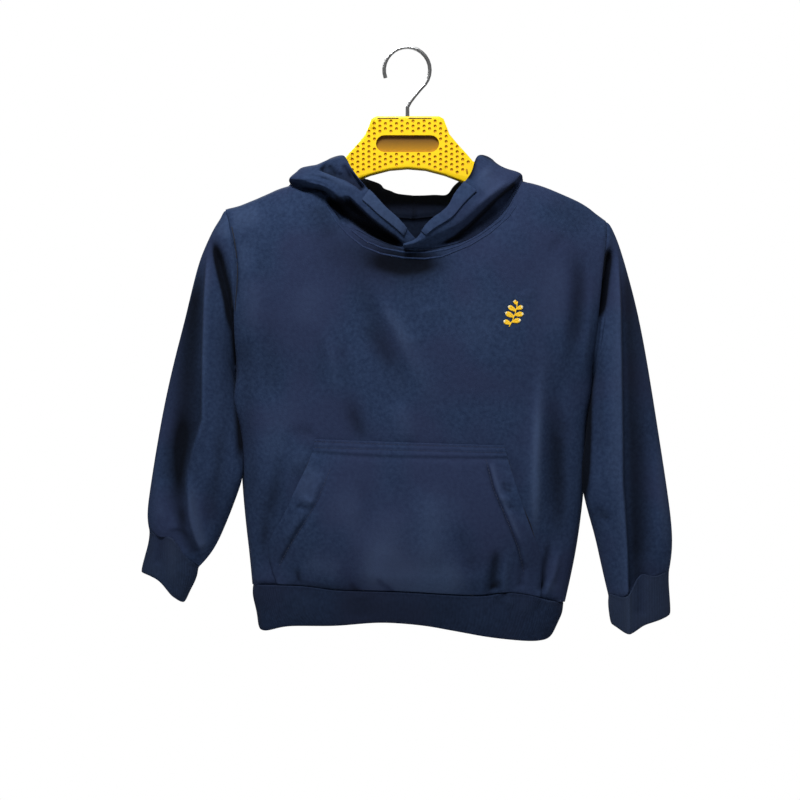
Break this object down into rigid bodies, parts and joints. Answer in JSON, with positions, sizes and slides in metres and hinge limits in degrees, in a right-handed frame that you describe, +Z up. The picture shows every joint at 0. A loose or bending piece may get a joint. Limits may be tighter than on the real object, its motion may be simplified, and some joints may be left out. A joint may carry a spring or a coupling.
{
  "type": "toddler hoodie on a hanger",
  "caption": "Toddler pullover hoodie hung on a plastic hanger: hood fallen back as a pouch, kangaroo pocket, folded rib cuffs and hem band, wire hook above.",
  "frame": {"origin": "inner top of the hanger's hook, the point that bears on a rail", "axes": "+Z up, the front of the garment faces -Y, +X to the right of a viewer who faces the front"},
  "size_m": [0.5322, 0.1298, 0.5938],
  "materials": {
    "fleece": "matt, brushed navy sweatshirt fleece",
    "rib": "matt, navy rib knit",
    "plastic": "satin yellow moulding",
    "steel": "bright drawn wire"
  },
  "bodies": {
    "root": {"front": "fleece", "back": "fleece", "sleeve_left": "fleece", "sleeve_right": "fleece", "cuff_left": "rib", "cuff_right": "rib", "hem_band": "rib", "pocket": "fleece", "hood_left": "fleece", "hood_right": "fleece", "hood_strip_left": "fleece", "hood_strip_right": "fleece", "hanger": "plastic", "hook": "steel"}
  },
  "joints": []
}
